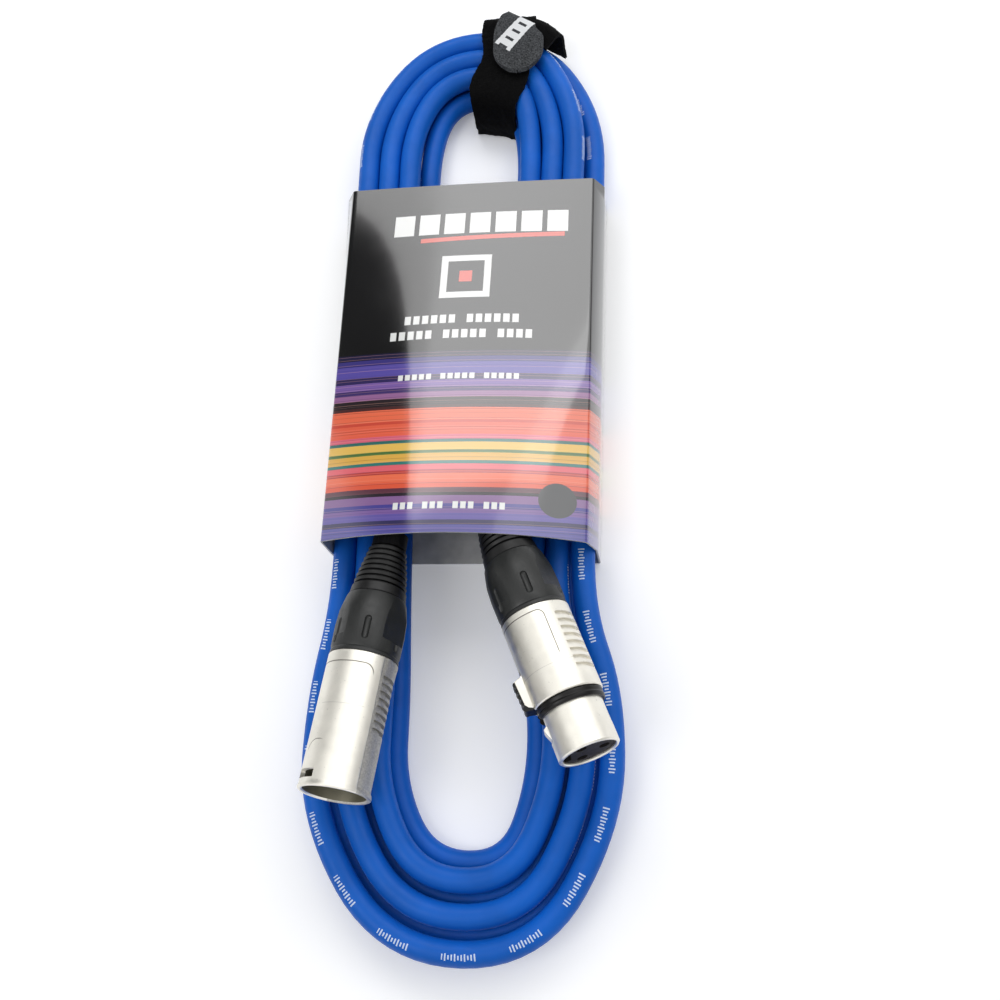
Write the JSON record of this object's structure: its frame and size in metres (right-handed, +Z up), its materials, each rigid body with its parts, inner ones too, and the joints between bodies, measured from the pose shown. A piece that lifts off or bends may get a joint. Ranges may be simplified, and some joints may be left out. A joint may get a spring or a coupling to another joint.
{
  "type": "xlr cable coil",
  "caption": "Coiled balanced microphone cable with a male and a female three-pin connector, held flat in a card sleeve and tied with a hook-and-loop strap.",
  "frame": {"origin": "middle of the whole seen from above, on the table", "axes": "+Z up from the table, +Y along the coil towards its tied end, +X to the right when the tied end points away"},
  "size_m": [0.0865, 0.2887, 0.0399],
  "materials": {
    "cable": "matte soft pvc",
    "nickel": "satin nickel plate",
    "steel": "plain",
    "contact": "silver plate",
    "carrier": "matte moulded",
    "clamp": "matte moulded",
    "collar": "satin moulded",
    "boot": "matte rubber",
    "core": "matte insulation",
    "card": "gloss printed card",
    "tie": "napped loop fabric"
  },
  "bodies": {
    "bundle": {"cable_coil": "cable", "male_tail": "cable", "female_tail": "cable", "male_shell": "nickel", "male_insert": "carrier", "male_pin_1": "contact", "male_pin_2": "contact", "male_pin_3": "contact", "male_chuck": "clamp", "male_collar": "collar", "male_boot": "boot", "male_jacket_end": "cable", "male_conductors": "core", "female_shell": "nickel", "female_ring": "boot", "female_insert": "carrier", "female_contact_1": "contact", "female_contact_2": "contact", "female_contact_3": "contact", "latch_pin": "steel", "latch_spring": "steel", "female_chuck": "clamp", "female_collar": "collar", "female_boot": "boot", "female_jacket_end": "cable", "female_conductors": "core", "strap_band": "tie"},
    "sleeve": {"card_sleeve": "card"},
    "latch": {"female_latch": "nickel"},
    "tab": {"strap_tab": "tie"}
  },
  "joints": [
    {"name": "latch_press", "type": "hinge", "parent": "bundle", "child": "latch", "pos_m": [0.01898, -0.07466, 0.02743], "axis": [0.0447, 0.1606, 0.986], "range_deg": [0, 4], "stiffness_Nm_per_rad": 0.4, "springref_deg": -1.15, "deforming": ["latch_spring"]},
    {"name": "sleeve_slide", "type": "slide", "parent": "bundle", "child": "sleeve", "axis": [0, 1, 0], "range_m": [0, 0.01]},
    {"name": "tab_peel", "type": "hinge", "parent": "bundle", "child": "tab", "pos_m": [0.0072, 0.14029, 0.01645], "axis": [-0.8387, 0.5446, 0], "range_deg": [0, 80]}
  ]
}
